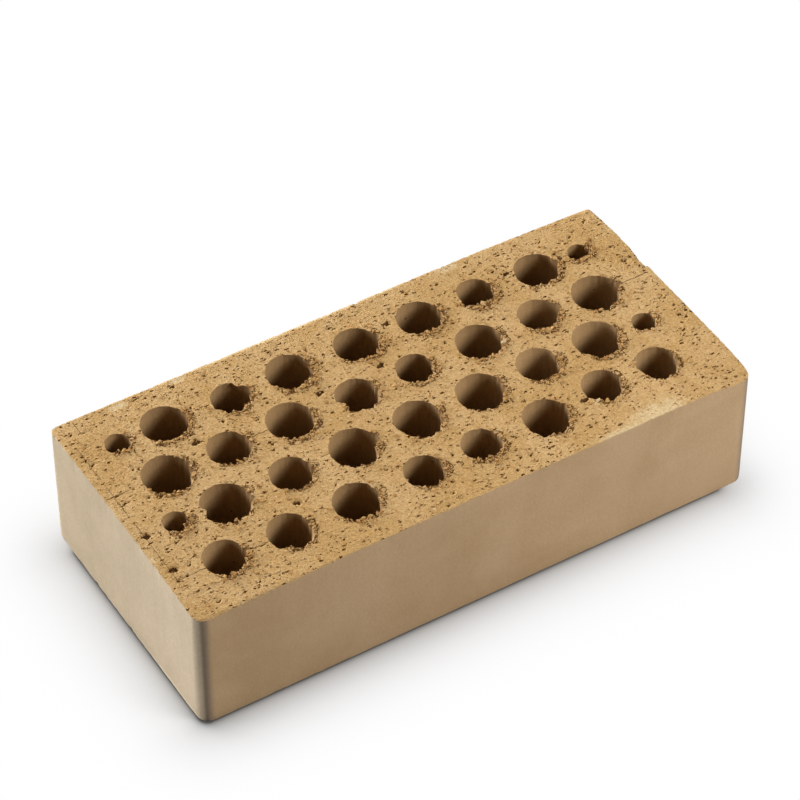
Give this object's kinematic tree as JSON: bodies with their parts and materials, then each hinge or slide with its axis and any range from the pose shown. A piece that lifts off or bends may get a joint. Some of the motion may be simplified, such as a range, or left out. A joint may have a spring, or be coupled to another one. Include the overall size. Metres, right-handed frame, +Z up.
{
  "type": "perforated clay brick",
  "caption": "Fired clay facing brick with rows of round holes of three sizes through its bed faces, rounded upright corners and torn wire-cut beds.",
  "frame": {"origin": "middle of the bed face that the brick lies on", "axes": "+X along the brick, +Y across it to the back, +Z up through the holes"},
  "size_m": [0.228, 0.107, 0.054],
  "materials": {
    "fired_clay": "matte, sandy"
  },
  "bodies": {
    "root": {"brick": "fired_clay"}
  },
  "joints": []
}
